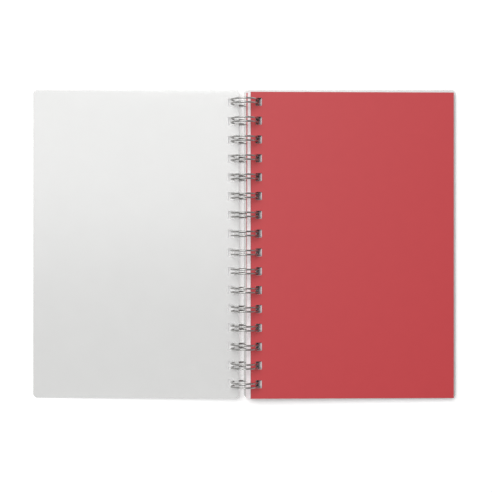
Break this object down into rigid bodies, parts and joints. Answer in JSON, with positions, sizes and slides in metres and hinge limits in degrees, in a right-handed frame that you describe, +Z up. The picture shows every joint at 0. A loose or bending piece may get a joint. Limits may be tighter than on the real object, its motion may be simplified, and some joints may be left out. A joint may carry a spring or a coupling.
{
  "type": "notebook",
  "caption": "Twin-loop wire notebook lying open, with frosted covers, red cards and a fanned block of pages, each hinged on the wire.",
  "frame": {"origin": "On the table, at the centre of the footprint of the open notebook, under the middle of the wire loops", "axes": "+X runs across the open notebook towards the fore edge of the back cover, +Y runs up the page along the wire, +Z is up, away from the table"},
  "size_m": [0.288, 0.21, 0.019],
  "materials": {
    "nickel_wire": "bright nickel-plated steel wire",
    "frosted_sheet": "frosted polypropylene, translucent, fine satin grain",
    "red_card": "red card, satin",
    "white_paper": "uncoated white writing paper"
  },
  "bodies": {
    "binding": {"wire_binding": "nickel_wire"},
    "front_leaf": {"front_cover": "frosted_sheet"},
    "page_stack": {"page_block": "white_paper", "back_card": "red_card"},
    "card_leaf": {"front_card": "red_card"},
    "back_leaf": {"back_cover": "frosted_sheet"}
  },
  "joints": [
    {"name": "front_cover_turn", "type": "hinge", "parent": "binding", "child": "front_leaf", "pos_m": [0, 0, 0.0095], "axis": [0, 1, 0], "range_deg": [-18, 185]},
    {"name": "page_stack_turn", "type": "hinge", "parent": "binding", "child": "page_stack", "pos_m": [0, 0, 0.0095], "axis": [0, -1, 0], "range_deg": [0, 176]},
    {"name": "front_card_turn", "type": "hinge", "parent": "page_stack", "child": "card_leaf", "pos_m": [0, 0, 0.0095], "axis": [0, -1, 0], "range_deg": [0, 184]},
    {"name": "back_cover_turn", "type": "hinge", "parent": "binding", "child": "back_leaf", "pos_m": [0, 0, 0.0095], "axis": [0, 1, 0], "range_deg": [0, 18]}
  ]
}
